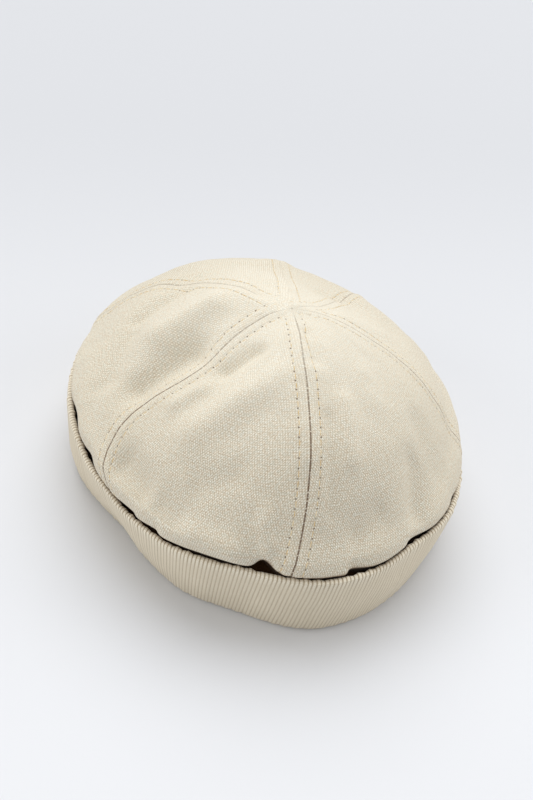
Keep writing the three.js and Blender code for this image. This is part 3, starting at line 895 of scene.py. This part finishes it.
# %% Shape a gore
def grid_index(piece, columns, rows):
    """Vertex numbers of a primitive grid, ordered by row and column."""
    spots = vertex_spots(piece)
    column = np.rint((spots[:, 0] + 0.5) * (columns - 1)).astype(int)
    row = np.rint((0.5 - spots[:, 1]) * (rows - 1)).astype(int)
    return row * columns + column


def shape_gore(gore, places):
    """Carry a flat grid to its place on the crown and write what its finish reads."""
    rows, columns = places["at"].shape
    order = grid_index(gore, columns, rows)
    spots = crown_point(places["at"], places["way"], places["depth"])
    place_vertices(gore, spots.reshape(-1, 3)[order])
    remove_uvs(gore)
    corners = corner_vertices(gore)
    for name, across, down in (("cloth", "flat", "length"), ("seam", "beside", "along")):
        u, v = (places[key].ravel()[order] * MM for key in (across, down))
        add_uv(gore, name, u[corners], v[corners])
    for name in ("hidden", "open"):
        add_shade(gore, name, places[name].ravel()[order])
    return places["thin"].ravel()[order]


print("deepest place of a gore's edge in mm:", EDGE[:, 1].max().round(2))


# %% Thicken a gore and measure its flat piece
TAPER = 20  # mm, the width under which the allowances run out to the tip


def thicken(gore, thin):
    """Give the sheet its thickness, less near the tip, where six gores meet."""
    group = gore.vertex_groups.new(name="thickness")
    for vertex in np.nonzero(thin < 1)[0]:
        group.add([int(vertex)], float(thin[vertex]), "REPLACE")
    group.add([int(vertex) for vertex in np.nonzero(thin >= 1)[0]], 1, "REPLACE")
    solidify = gore.modifiers.new("Cloth thickness", "SOLIDIFY")
    solidify.thickness = CANVAS * MM
    solidify.offset = 0
    solidify.vertex_group = group.name
    apply_modifiers(gore)
    gore.vertex_groups.clear()
    gore.data.shade_smooth()


def cut_sizes(places):
    """Width, length and area of the flat piece that a cutter would cut, allowances included."""
    even, width = places["even"], places["width"]
    length = float(even[-1] - even[0])
    allowances = 2 * ALLOWANCE * np.minimum(1, width / TAPER)
    area = float((width + allowances).sum()) * length / (GORE_ROWS - 1)
    return float(width.max()) + 2 * ALLOWANCE, length, area


print("cloth", CANVAS, "mm thick, with", ALLOWANCE, "mm turned under at each seam")


# %% Build the six gores
def build_gore(index):
    places = gore_places(index)
    rows, columns = places["at"].shape
    deselect_all()
    bpy.ops.mesh.primitive_grid_add(x_subdivisions=columns - 1, y_subdivisions=rows - 1, size=1)
    gore = bpy.context.object
    gore.name = f"canvas_gore_{PANELS[index]}"
    thicken(gore, shape_gore(gore, places))
    width, length, area = cut_sizes(places)
    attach(gore, "root")
    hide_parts(f"crown_panel_{PANELS[index]}")
    faces = len(gore.data.polygons)
    print(gore.name, "cut", round(width), "x", round(length), "mm,", faces, "faces")
    return gore


gores = [build_gore(index) for index in range(len(PANELS))]

# %% [markdown]
# ## Topstitching
# Two rows of stitches hold down the layers beside every seam. They could be painted on the canvas,
# but a real thread catches the light on one side and leaves a shadow on the other. So one stitch
# is modelled once, as a short thread that dives into the cloth at both ends. Its copies are bent
# along the rows, each from one needle hole to the next. The rows of the seam that was sewn last
# run on over the top, and the other rows stop where they meet them.

# %% The rows of stitches
STITCH = 4.1
CROSSING = 7.6
THROUGH_SEAMS = (2, 5)
ROW_END = 6  # mm before the hem
TURN_OVER = 3 * TOPSTITCH


def row_spot(seam, side, along):
    """A place on a row of stitches, by its distance from the top along the seam."""
    radius = np.hypot(along, TOPSTITCH)
    way = np.interp(radius, SEAM_LENGTHS[seam], DENSE)
    base = crown_base(seam_at(seam, way), way)
    span = np.maximum(np.hypot(base[..., 0], base[..., 1]), TOPSTITCH)
    near_top = np.arctan2(TOPSTITCH, along)
    turn = np.degrees(np.where(along < TURN_OVER, near_top, TOPSTITCH / span))
    return seam_at(seam, way) + side * turn, way


def hole_places(seam):
    """Distance from the top of the hole before each stitch of a row."""
    first = 0 if seam in THROUGH_SEAMS else CROSSING
    last = SEAM_LENGTHS[seam][-1] - ROW_END
    return np.arange(math.ceil(first / STITCH), int(last / STITCH)) * STITCH


print("stitches in a row:", [len(hole_places(seam)) for seam in range(len(PANELS))])

# %% One stitch
STITCH_CUTS = (-0.42, -0.22, 0, 0.22, 0.42)


def model_stitch():
    """A tube one long and one thick, cut into rings that can bend."""
    deselect_all()
    bpy.ops.mesh.primitive_cylinder_add(vertices=6, radius=0.5, depth=1, end_fill_type="NOTHING",
                                        rotation=(0, math.pi / 2, 0))
    stitch = bpy.context.object
    bpy.ops.object.transform_apply(location=False, rotation=True, scale=False)
    bpy.ops.object.mode_set(mode="EDIT")
    for cut in STITCH_CUTS:
        bpy.ops.mesh.select_all(action="SELECT")
        bpy.ops.mesh.bisect(plane_co=(cut, 0, 0), plane_no=(1, 0, 0))
    bpy.ops.mesh.select_all(action="SELECT")
    bpy.ops.mesh.remove_doubles(threshold=1e-5)
    bpy.ops.object.mode_set(mode="OBJECT")
    return stitch


stitch = model_stitch()
print("one stitch:", len(stitch.data.vertices), "vertices")

# %% Its copies along the rows
HOLE_SHARE = 0.07
THREAD = 0.34
THREAD_DIVE = 0.22
THREAD_ARCH = 0.26
THIN_END = 0.55
PRESSED_BROAD = 1.15
LOOK_AHEAD = 0.2


def bent_stitch(shape, seam, side, hole):
    """One copy's vertices in the cap's millimetres."""
    along = hole + STITCH * blend(HOLE_SHARE, 1 - HOLE_SHARE, shape[:, 0] + 0.5)
    at, way = row_spot(seam, side, along)
    arch = 1 - (2 * np.abs(shape[:, 0])) ** 3
    middle = crown_point(at, way, seam_relief(TOPSTITCH) + THREAD_DIVE - THREAD_ARCH * arch)
    after, before = (crown_base(*row_spot(seam, side, along + step))
                     for step in (LOOK_AHEAD, -LOOK_AHEAD))
    ahead = after - before
    ahead /= np.linalg.norm(ahead, axis=1, keepdims=True)
    up = crown_normal(at, way)
    girth = THREAD * blend(THIN_END, 1, arch)
    breadth = (shape[:, 1] * girth * PRESSED_BROAD)[:, None]
    return middle + np.cross(up, ahead) * breadth + up * (shape[:, 2] * girth)[:, None]


def join_copies(stitch, copies):
    """One mesh of all copies, with the open ends closed."""
    faces = [list(face.vertices) for face in stitch.data.polygons]
    count = len(stitch.data.vertices)
    starts = range(0, count * len(copies), count)
    every_face = [[number + start for number in face] for start in starts for face in faces]
    mesh = bpy.data.meshes.new("topstitching")
    spots = (np.concatenate(copies) - MIDDLE) * MM
    mesh.from_pydata(spots.tolist(), [], every_face)
    rows = bpy.data.objects.new("topstitching", mesh)
    bpy.context.collection.objects.link(rows)
    bpy.data.objects.remove(stitch)
    deselect_all()
    bpy.context.view_layer.objects.active = rows
    rows.select_set(True)
    bpy.ops.object.mode_set(mode="EDIT")
    bpy.ops.mesh.select_all(action="SELECT")
    bpy.ops.mesh.fill_holes(sides=8)
    bpy.ops.mesh.select_all(action="SELECT")
    bpy.ops.mesh.normals_make_consistent(inside=False)
    bpy.ops.object.mode_set(mode="OBJECT")
    rows.data.shade_smooth()
    return rows


shape = vertex_spots(stitch)
copies = [bent_stitch(shape, seam, side, hole)
          for seam in range(len(PANELS)) for side in (-1, 1) for hole in hole_places(seam)]
topstitching = join_copies(stitch, copies)
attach(topstitching, "root")
print(topstitching.name, len(copies), "stitches,", len(topstitching.data.polygons), "faces")

# %% [markdown]
# ## Shader maths in Python
# The looks of cloth are written as formulas: where a thread lies on top, how a groove darkens. A
# photo of cloth could be laid on instead, but it would bring its own light and would repeat. Nodes
# could be drawn by hand, but a weave takes dozens of them. This small class wraps a socket, so that
# a sum or a product of wires adds the Math nodes by itself. Every other node comes from one method.


# %% Wires and finishes
class Wire:
    """A shader value that can be used in Python arithmetic."""

    def __init__(self, finish, socket):
        self.finish = finish
        self.socket = socket

    def math(self, operation, *others):
        inputs = dict(enumerate((self, *others)))
        return self.finish.node("ShaderNodeMath", {"operation": operation}, inputs)

    def __add__(self, other):
        return self.math("ADD", other)

    def __sub__(self, other):
        return self.math("SUBTRACT", other)

    def __rsub__(self, other):
        return self.finish.node("ShaderNodeMath", {"operation": "SUBTRACT"}, {0: other, 1: self})

    def __mul__(self, other):
        return self.math("MULTIPLY", other)

    def __truediv__(self, other):
        return self.math("DIVIDE", other)

    __radd__ = __add__
    __rmul__ = __mul__

    def clamp(self):
        return self.finish.node("ShaderNodeClamp", {}, {"Value": self})

    def smooth(self, low, high):
        """0 below low, 1 above high and a soft step between them."""
        inputs = {"Value": self, "From Min": low, "From Max": high}
        return self.finish.node("ShaderNodeMapRange", {"interpolation_type": "SMOOTHSTEP"}, inputs)


class Finish:
    """One node material."""

    def __init__(self, name):
        self.material = bpy.data.materials.new(name)
        self.material.use_nodes = True
        self.tree = self.material.node_tree
        self.tree.nodes.clear()

    def node(self, kind, settings, inputs, output=0):
        made = self.tree.nodes.new(kind)
        for key, value in settings.items():
            setattr(made, key, value)
        for key, value in inputs.items():
            if isinstance(value, Wire):
                self.tree.links.new(value.socket, made.inputs[key])
            else:
                made.inputs[key].default_value = value
        return Wire(self, made.outputs[output]) if made.outputs else None

    def mix(self, share, first, second):
        settings = {"data_type": "RGBA"}
        return self.node("ShaderNodeMix", settings, {0: share, 6: first, 7: second}, output=2)

    def cloth_place(self, name):
        """Across and down the cloth in millimetres."""
        place = self.node("ShaderNodeUVMap", {"uv_map": name}, {})
        across = self.node("ShaderNodeSeparateXYZ", {}, {"Vector": place}, output=0)
        down = self.node("ShaderNodeSeparateXYZ", {}, {"Vector": place}, output=1)
        return across / MM, down / MM

    def noise(self, place, scale, detail=2.0):
        inputs = {"Vector": place, "Scale": scale, "Detail": detail}
        return self.node("ShaderNodeTexNoise", {"noise_dimensions": "3D"}, inputs)

    def share(self, name):
        """A share that the mesh carries at its vertices."""
        return self.node("ShaderNodeAttribute", {"attribute_name": name}, {}, output=2)

    def vector(self, x, y, z=0.0):
        return self.node("ShaderNodeCombineXYZ", {}, {"X": x, "Y": y, "Z": z})

    def surface(self, colour, roughness, height, distance, sheen, sheen_tint):
        bump = self.node("ShaderNodeBump", {}, {"Height": height, "Distance": distance, "Strength": 1.0})
        inputs = {
            "Base Color": colour, "Roughness": roughness, "Normal": bump,
            "Sheen Weight": sheen, "Sheen Tint": sheen_tint, "Sheen Roughness": 0.5,
            "Specular IOR Level": 0.2,
        }
        shader = self.node("ShaderNodeBsdfPrincipled", {}, inputs)
        self.node("ShaderNodeOutputMaterial", {}, {"Surface": shader})
        return self.material


def srgb(red, green, blue):
    """A colour as seen on a screen, from 0 to 255, as the linear colour that a shader wants."""
    parts = [part / 255 for part in (red, green, blue)]
    linear = [part / 12.92 if part <= 0.04045 else ((part + 0.055) / 1.055) ** 2.4 for part in parts]
    return (*linear, 1.0)


NATURAL_COTTON = srgb(241, 238, 227)
BROWN_SHADE = srgb(84, 56, 32)
WARM_SHEEN = srgb(255, 250, 240)
print("natural cotton as linear colour:", [round(part, 2) for part in NATURAL_COTTON[:3]])

# %% [markdown]
# ## Canvas
# Cotton canvas is a plain weave: each thread goes over one and under the next. Threads could be
# modelled one by one, but there are hundreds of thousands of them. So the height below is a product
# of two waves that decides which thread is on top, and a bump turns it into light and shade. The
# gaps between the threads are also painted darker, as painted shade, more so down the crown. The
# cloth's map gives the threads, thick and thin as spun cotton is. The seam's map adds what the
# needle did: holes, which dip in the bump and are painted dark as painted shade, and a painted brown
# shadow deep in the seam's line. Behind the cuff the cloth is painted brown, as painted shade.

# %% The weave
WARP_PITCH = 0.5
WEFT_PITCH = 0.95


def weave(canvas, across, down):
    """Height of the threads, their thick and thin places, and their uneven tint."""
    wobble = canvas.noise(canvas.vector(across, down), 0.35, 2.0) - 0.5
    u = across * (1 / WARP_PITCH) + wobble * 0.8
    v = down * (1 / WEFT_PITCH) + wobble * 0.5
    checks = (u * math.pi).math("COSINE") * (v * math.pi).math("COSINE")
    rows = (v * math.tau).math("COSINE")
    on_top = checks * 0.38 + rows * 0.12 + 0.5
    spark = canvas.noise(canvas.vector(u * 0.8, v * 1.4, 3.0), 1.0, 2.0).smooth(0.3, 0.7)
    warp_slub = canvas.noise(canvas.vector(across * 1.4, down * 0.08), 1.0, 3.0)
    weft_slub = canvas.noise(canvas.vector(across * 0.08, down * 1.4, 7.0), 1.0, 3.0)
    slub = (warp_slub * on_top + weft_slub * (1 - on_top)) - 0.5
    tint = canvas.noise(canvas.vector(u * 0.35, v * 0.7, 9.0), 1.0, 0.0).smooth(0.3, 0.7)
    return on_top * (spark * 1.1 + 0.4), slub, tint


print("dots of the weave for each square centimetre:", round(100 / (WARP_PITCH * 2 * WEFT_PITCH)))

# %% Holes and line of a seam
HOLE_RADII = (0.2, 0.56)
LINE_WIDTHS = (0.14, 0.4)


def painted_seam_shade(canvas, beside, along, opened):
    """How much shade is painted in a needle hole and in the seam's dark line."""
    to_hole = ((along * (1 / STITCH) + 0.5).math("FRACT") - 0.5) * STITCH
    to_row = beside - TOPSTITCH
    distance = (to_hole * to_hole + to_row * to_row).math("SQRT")
    uneven = canvas.noise(canvas.vector(along * 0.21, beside * 0.3), 1.0, 1.0)
    hole = (1 - distance.smooth(*HOLE_RADII)) * (uneven.smooth(0.25, 0.52) * 0.6 + 0.4)
    broken = canvas.noise(canvas.vector(along * 0.9, 3.0), 1.0, 2.0).smooth(0.3, 0.52)
    in_line = 1 - beside.math("ABSOLUTE").smooth(*LINE_WIDTHS)
    return hole, (opened * 2).clamp() * in_line * broken


print("a needle hole every", STITCH, "mm,", TOPSTITCH, "mm beside the seam")

# %% The canvas finish
SHADE_GROWS_DOWN = (10, 95)
LINE_GROWS = (20, 80)
CANVAS_BUMP = 0.125


def canvas_finish():
    canvas = Finish("natural cotton canvas")
    across, down = canvas.cloth_place("cloth")
    beside, along = canvas.cloth_place("seam")
    opened = canvas.share("open")
    hidden = canvas.share("hidden")
    height, slub, tint = weave(canvas, across, down)
    hole, line = painted_seam_shade(canvas, beside, along, opened)
    cloud = canvas.noise(canvas.vector(across * 0.05, down * 0.05), 1.0, 3.0) - 0.5
    # The gaps between threads are painted darker, as painted shade, and more so down the crown: darker
    # towards the hem and lighter on top.
    painted_weave_shade = (1 - height).smooth(0.0, 0.9) * (down.smooth(*SHADE_GROWS_DOWN) * 0.32 + 0.36)
    pale = canvas.mix(tint, srgb(244, 237, 221), NATURAL_COTTON)
    deep = canvas.mix(tint, srgb(150, 128, 96), srgb(158, 150, 122))
    colour = canvas.mix(painted_weave_shade, pale, deep)
    colour = canvas.mix((slub * 0.9 + 0.06).clamp(), colour, srgb(201, 186, 158))
    colour = canvas.mix((cloud * 0.4 + 0.03).clamp(), colour, srgb(214, 202, 178))
    # Needle holes and the seam's line painted dark brown: painted shade, the line more so down the
    # crown.
    colour = canvas.mix(hole * (opened + 0.32), colour, srgb(90, 60, 28))
    colour = canvas.mix(line * (down.smooth(*LINE_GROWS) * 0.5 + 0.45), colour, srgb(92, 60, 32))
    # Painted brown shade behind the cuff, with a paler halo of painted shade above it.
    colour = canvas.mix(hidden.smooth(0, 0.6) * 0.6, colour, srgb(140, 106, 70))
    colour = canvas.mix(hidden.smooth(0.45, 1), colour, BROWN_SHADE)
    relief = height - hole + cloud * 0.3 + slub * 0.4
    return canvas.surface(colour, 0.9, relief, CANVAS_BUMP * MM, 0.12, WARM_SHEEN)


def finish_piece(piece, material):
    piece.data.materials.clear()
    piece.data.materials.append(material)


canvas_cloth = canvas_finish()
for gore in gores:
    finish_piece(gore, canvas_cloth)
print(canvas_cloth.name, "has", len(canvas_cloth.node_tree.nodes), "nodes")

# %% [markdown]
# ## Rib knit
# Each ridge of the knit is a column of loops that look like stacked letters V. Single loops of yarn
# could be bent and copied, but at this pitch they would be smaller than a picture's dots. The ridges
# are already in the mesh, so the finish only adds the loops, with painted shade between them, and it
# paints shade in the grooves, where less light falls. The cuff's upper edge is painted paler, as
# painted light, and the layers behind it are painted brown, as painted shade.

# %% The knit finish
LOOP = 1.15
KNIT_BUMP = 0.12


def knit_finish():
    knit = Finish("natural cotton rib knit")
    place = knit.node("ShaderNodeUVMap", {"uv_map": "cloth"}, {})
    rib = knit.node("ShaderNodeSeparateXYZ", {}, {"Vector": place}, output=0)
    down = knit.node("ShaderNodeSeparateXYZ", {}, {"Vector": place}, output=1) / MM
    wobble = knit.noise(knit.vector(rib * 0.3, down * 0.25), 1.0, 2.0) - 0.5
    across = (rib + 0.5).math("FRACT") - 0.5
    ridge = (across * math.pi).math("COSINE")
    slant = across.math("ABSOLUTE") * 1.5
    loop = ((down * (1 / LOOP) + slant + wobble * 0.5) * math.tau).math("COSINE") * 0.5 + 0.5
    split = across.math("ABSOLUTE").smooth(0.0, 0.09)
    height = ridge * 0.6 + loop * ridge * 0.5 * split
    # Painted shade in the grooves between the ribs.
    groove = 1 - ridge.smooth(0.05, 0.85)
    rim = knit.share("rim")
    cloud = knit.noise(knit.vector(rib * 0.06, down * 0.07), 1.0, 3.0) - 0.5
    fuzz = knit.noise(knit.vector(rib * 1.7, down * 1.2), 1.0, 3.0) - 0.5
    # Paler at the rim: painted light. Darker grooves, more so at the rim, and darker between loops:
    # painted shade.
    colour = knit.mix(rim, srgb(226, 217, 197), srgb(240, 233, 216))
    colour = knit.mix(groove * (rim * 0.42 + 0.56), colour, srgb(150, 130, 100))
    colour = knit.mix(((1 - loop) * 0.35).clamp(), colour, srgb(176, 160, 134))
    colour = knit.mix((cloud * 0.6 + 0.05).clamp(), colour, srgb(196, 184, 160))
    colour = knit.mix((fuzz * 0.5 + 0.06).clamp(), colour, srgb(236, 229, 212))
    # Painted brown shade on the layers behind the cuff's rim.
    colour = knit.mix(knit.share("hidden"), colour, BROWN_SHADE)
    return knit.surface(colour, 0.95, height + fuzz * 0.3, KNIT_BUMP * MM, 0.15, WARM_SHEEN)


finish_piece(cuff, knit_finish())
print("loops over the height of the cuff:", round(CUFF_HEIGHT / LOOP))

# %% [markdown]
# ## Thread
# The topstitching is a twisted cotton thread, a little browner than the canvas. Its twist could be
# modelled as a screw, but the thread is a third of a millimetre thick. Fine noise for the fibres and
# coarser noise for the browner stretches are enough to part it from the cloth.

# %% The thread finish
THREAD_BUMP = 0.05


def thread_finish():
    thread = Finish("cotton thread")
    place = thread.node("ShaderNodeTexCoord", {}, {}, output=3)
    shade = thread.noise(place, 900.0, 2.0)
    patch = thread.noise(place, 280.0, 1.0)
    colour = thread.mix(shade.smooth(0.35, 0.7), srgb(236, 221, 188), srgb(210, 186, 140))
    colour = thread.mix(patch.smooth(0.4, 0.6) * 0.7, colour, srgb(204, 170, 110))
    return thread.surface(colour, 0.85, shade, THREAD_BUMP * MM, 0.1, WARM_SHEEN)


finish_piece(topstitching, thread_finish())
print("finishes:", [material.name for material in bpy.data.materials])

# %% [markdown]
# ## Floor, light and camera
# The cap stands on a pale sweep, painted darker towards the back as painted shade, under one large
# soft light from above and behind, with a bright room all round and a weak sheet on each side. A
# picture of a room could light it too, but its colours would tint the cloth. The camera looks down on
# the cap from the front, a little from the left, and is turned a little about its own line of sight.

# %% Floor
FLOOR_BUMP = 0.005


def floor_finish():
    paper = Finish("pale paper")
    place = paper.node("ShaderNodeTexCoord", {}, {}, output=3)
    # Darker towards the back: painted shade on the far floor.
    far = paper.node("ShaderNodeSeparateXYZ", {}, {"Vector": place}, output=1).smooth(-0.12, 0.35)
    colour = paper.mix(far, srgb(222, 224, 229), srgb(203, 205, 210))
    grain = paper.noise(place, 900.0, 1.0)
    return paper.surface(colour, 0.95, grain, FLOOR_BUMP * MM, 0.0, srgb(255, 255, 255))


deselect_all()
bpy.ops.mesh.primitive_plane_add(size=6, location=(0, 0, 0))
floor = bpy.context.object
floor.name = "floor"
finish_piece(floor, floor_finish())
print(floor.name, round(floor.dimensions.x, 1), "m wide")

# %% Light
LAMPS = [
    # name, place, aim, size, power, colour
    ("window", (0.15, 1.9, 3.6), (0, 0, 0.05), 4.6, 130, (0.985, 0.995, 1.0)),
    ("left sheet", (-1.6, -0.15, 0.6), (0, 0, 0.03), 1.3, 8, (1.0, 0.995, 0.98)),
    ("right sheet", (1.6, 0.0, 0.6), (0, 0, 0.03), 1.3, 7.5, (1.0, 0.995, 0.98)),
]
ROOM_COLOUR = (1.0, 0.985, 0.955, 1.0)
ROOM_STRENGTH = 0.56


def add_soft_light(name, place, aim, size, power, colour):
    lamp = bpy.data.lights.new(name, "AREA")
    lamp.shape = "DISK"
    lamp.size = size
    lamp.energy = power
    lamp.color = colour
    holder = bpy.data.objects.new(name, lamp)
    bpy.context.collection.objects.link(holder)
    holder.location = place
    holder.rotation_euler = (Vector(aim) - Vector(place)).to_track_quat("-Z", "Y").to_euler()


def light_room():
    world = bpy.data.worlds.new("bright room")
    bpy.context.scene.world = world
    world.use_nodes = True
    room = world.node_tree.nodes["Background"]
    room.inputs["Color"].default_value = ROOM_COLOUR
    room.inputs["Strength"].default_value = ROOM_STRENGTH


for lamp in LAMPS:
    add_soft_light(*lamp)
light_room()
bpy.context.scene.view_settings.view_transform = "Standard"
print("lamps in watts:", {lamp.name: lamp.energy for lamp in bpy.data.lights})

# %% Camera
FRAME_HEIGHT = 800
VIEW_TARGET = np.array([0, 0, 57.6])
VIEW_AZIMUTH = 0.277
VIEW_ELEVATION = math.radians(40.9)
VIEW_ROLL = math.radians(10.57)
VIEW_DISTANCE = 513.8
TARGET_OFFSET = (6.0, 24.2)


def add_camera():
    lens = bpy.data.cameras.new("camera")
    lens.lens = 50
    lens.sensor_width = 36
    lens.shift_x = -TARGET_OFFSET[0] / FRAME_HEIGHT
    lens.shift_y = -TARGET_OFFSET[1] / FRAME_HEIGHT
    camera = bpy.data.objects.new("camera", lens)
    bpy.context.collection.objects.link(camera)
    level = math.cos(VIEW_ELEVATION)
    sideways, backwards = math.sin(VIEW_AZIMUTH) * level, math.cos(VIEW_AZIMUTH) * level
    away = Vector((-sideways, -backwards, math.sin(VIEW_ELEVATION)))
    target = Vector((VIEW_TARGET - MIDDLE) * MM)
    right = Vector((0, 0, 1)).cross(away).normalized()
    up = away.cross(right)
    cosine, sine = math.cos(VIEW_ROLL), math.sin(VIEW_ROLL)
    x_axis = right * cosine + up * sine
    y_axis = up * cosine - right * sine
    turned = Matrix((x_axis, y_axis, away)).transposed().to_4x4()
    camera.matrix_world = Matrix.Translation(target + away * VIEW_DISTANCE * MM) @ turned
    return camera


camera = add_camera()
bpy.context.scene.camera = camera
print("camera at", [round(place, 3) for place in camera.matrix_world.translation])
